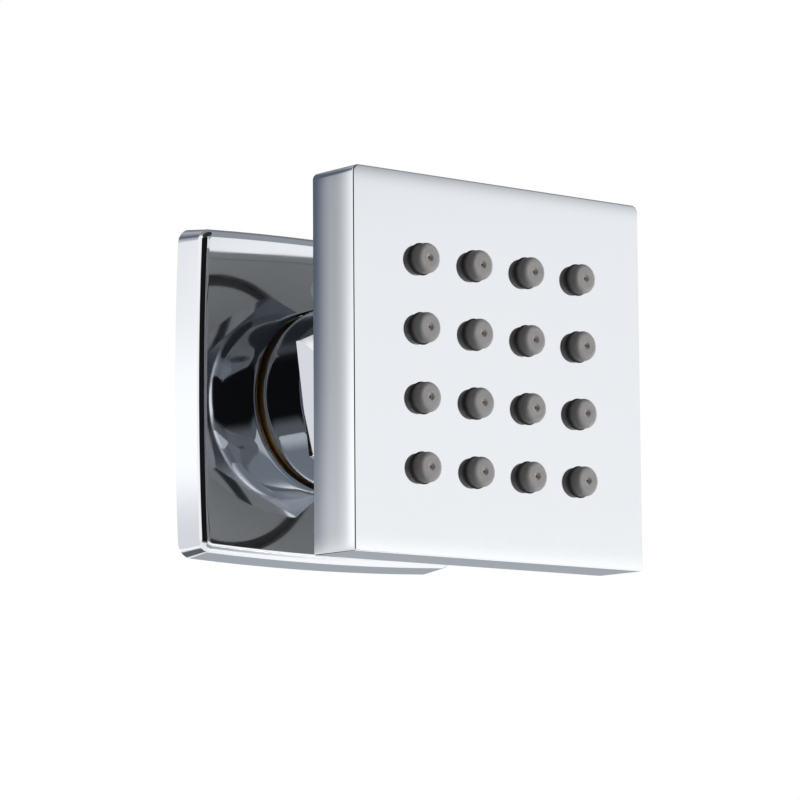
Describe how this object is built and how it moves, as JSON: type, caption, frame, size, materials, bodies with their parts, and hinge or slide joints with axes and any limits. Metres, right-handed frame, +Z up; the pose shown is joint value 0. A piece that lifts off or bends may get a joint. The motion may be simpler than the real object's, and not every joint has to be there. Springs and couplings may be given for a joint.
{
  "type": "shower body jet",
  "caption": "Square chrome shower body jet: a flat spray head with soft grey nozzles on a swivel ball joint, held by a hexagon ball nut in front of a square wall flange.",
  "frame": {"origin": "centre of the inlet thread's mouth, on the wall plane", "axes": "+Z up, +Y into the wall, the jet sprays along -Y, +X to the right of someone facing the jet"},
  "size_m": [0.05, 0.0427, 0.05],
  "materials": {
    "chrome": "polished",
    "brass": "turned",
    "silicone": "matt",
    "black_rubber": "matt",
    "foam": "foam",
    "natural_plastic": "moulded",
    "grey_plastic": "moulded",
    "steel": "plain"
  },
  "bodies": {
    "wall_side": {"wall_flange": "chrome", "flange_gasket": "foam", "flange_o_ring": "black_rubber", "inlet_socket": "brass", "inlet_washer": "black_rubber", "filter_screen": "steel", "flow_regulator": "natural_plastic", "ball_seal": "black_rubber", "ball_nut": "chrome"},
    "swivel_rings": {"seat_ring": "natural_plastic", "friction_ring": "natural_plastic"},
    "ball_stem": {"swivel_ball": "chrome", "stem_washer": "black_rubber"},
    "spray_head": {"face_shell": "chrome", "nozzle_mat": "silicone", "pressure_plate": "natural_plastic", "chamber_gasket": "black_rubber", "back_cover": "grey_plastic", "cover_screws": "steel"}
  },
  "joints": [
    {"name": "swivel_turn", "type": "hinge", "parent": "wall_side", "child": "swivel_rings", "pos_m": [0, -0.0211, 0], "axis": [0, 1, 0], "continuous": true},
    {"name": "swivel_tilt", "type": "hinge", "parent": "swivel_rings", "child": "ball_stem", "pos_m": [0, -0.0211, 0], "axis": [1, 0, 0], "range_deg": [-15, 15]},
    {"name": "head_spin", "type": "hinge", "parent": "ball_stem", "child": "spray_head", "pos_m": [0, -0.0211, 0], "axis": [0, 1, 0], "continuous": true}
  ]
}
